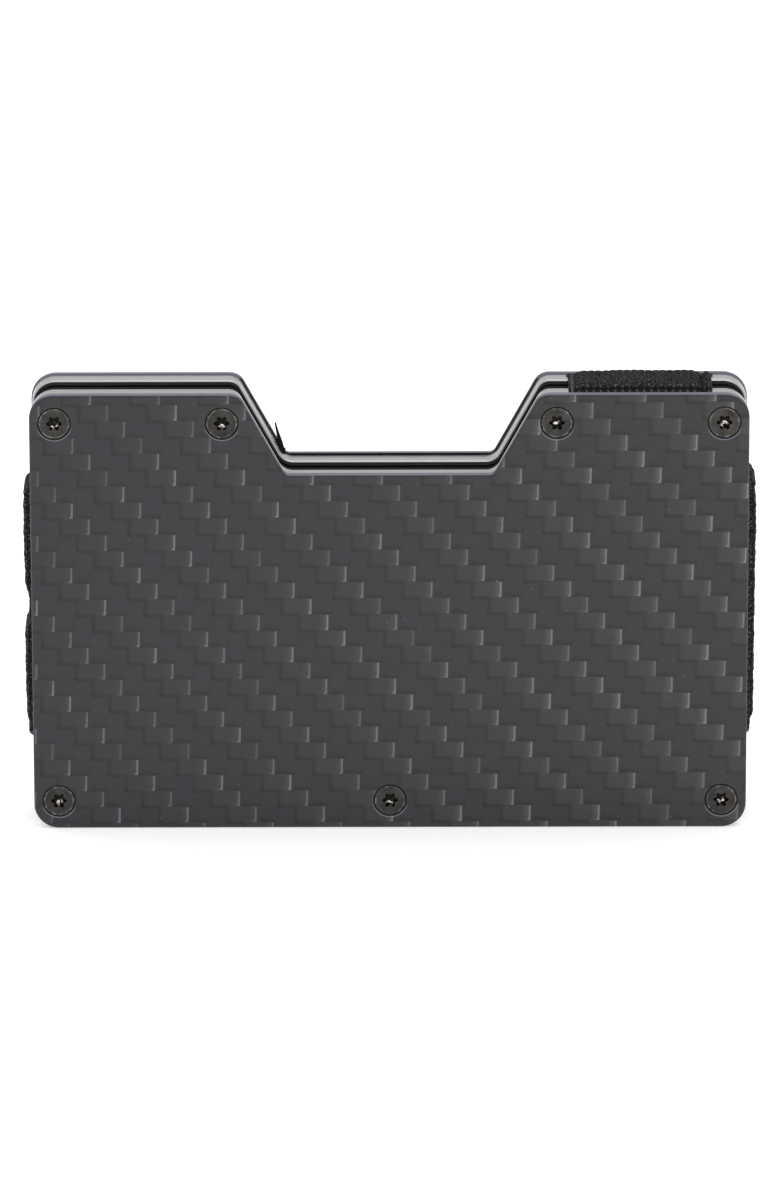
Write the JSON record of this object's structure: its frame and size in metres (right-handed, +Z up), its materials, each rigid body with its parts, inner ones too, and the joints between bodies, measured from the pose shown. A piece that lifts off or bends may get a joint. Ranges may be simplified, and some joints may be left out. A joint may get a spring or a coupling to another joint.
{
  "type": "minimalist wallet",
  "caption": "Slim rigid card wallet: two plate halves with carbon-fibre covers and a thumb notch, held together by woven elastic that stretches as cards go in.",
  "frame": {"origin": "on the plane that the card mouth's edges rest on, midway across the width and in the middle of the card gap", "axes": "+Z up from the card mouth to the notched edge, +X along the long edge, +Y from the front half to the rear half"},
  "size_m": [0.0874, 0.01, 0.0553],
  "materials": {
    "carbon_cover": "satin clear coat over 2x2 carbon twill",
    "inner_aluminium": "satin, clear anodised",
    "liner": "matte",
    "screw_steel": "dark bronzed, turned",
    "elastic": "woven, ribbed"
  },
  "bodies": {
    "front_half": {"front_cover": "carbon_cover", "front_cover_screws": "screw_steel", "front_inner_plate": "inner_aluminium", "front_liner": "liner", "side_elastic_band": "elastic", "top_elastic_strap": "elastic"},
    "rear_half": {"rear_cover": "carbon_cover", "rear_cover_screws": "screw_steel", "rear_inner_plate": "inner_aluminium", "rear_liner": "liner"}
  },
  "joints": [
    {"name": "plate_spread", "type": "slide", "parent": "front_half", "child": "rear_half", "axis": [0, 1, 0], "range_m": [0, 0.0082], "deforming": ["side_elastic_band", "top_elastic_strap"]}
  ]
}
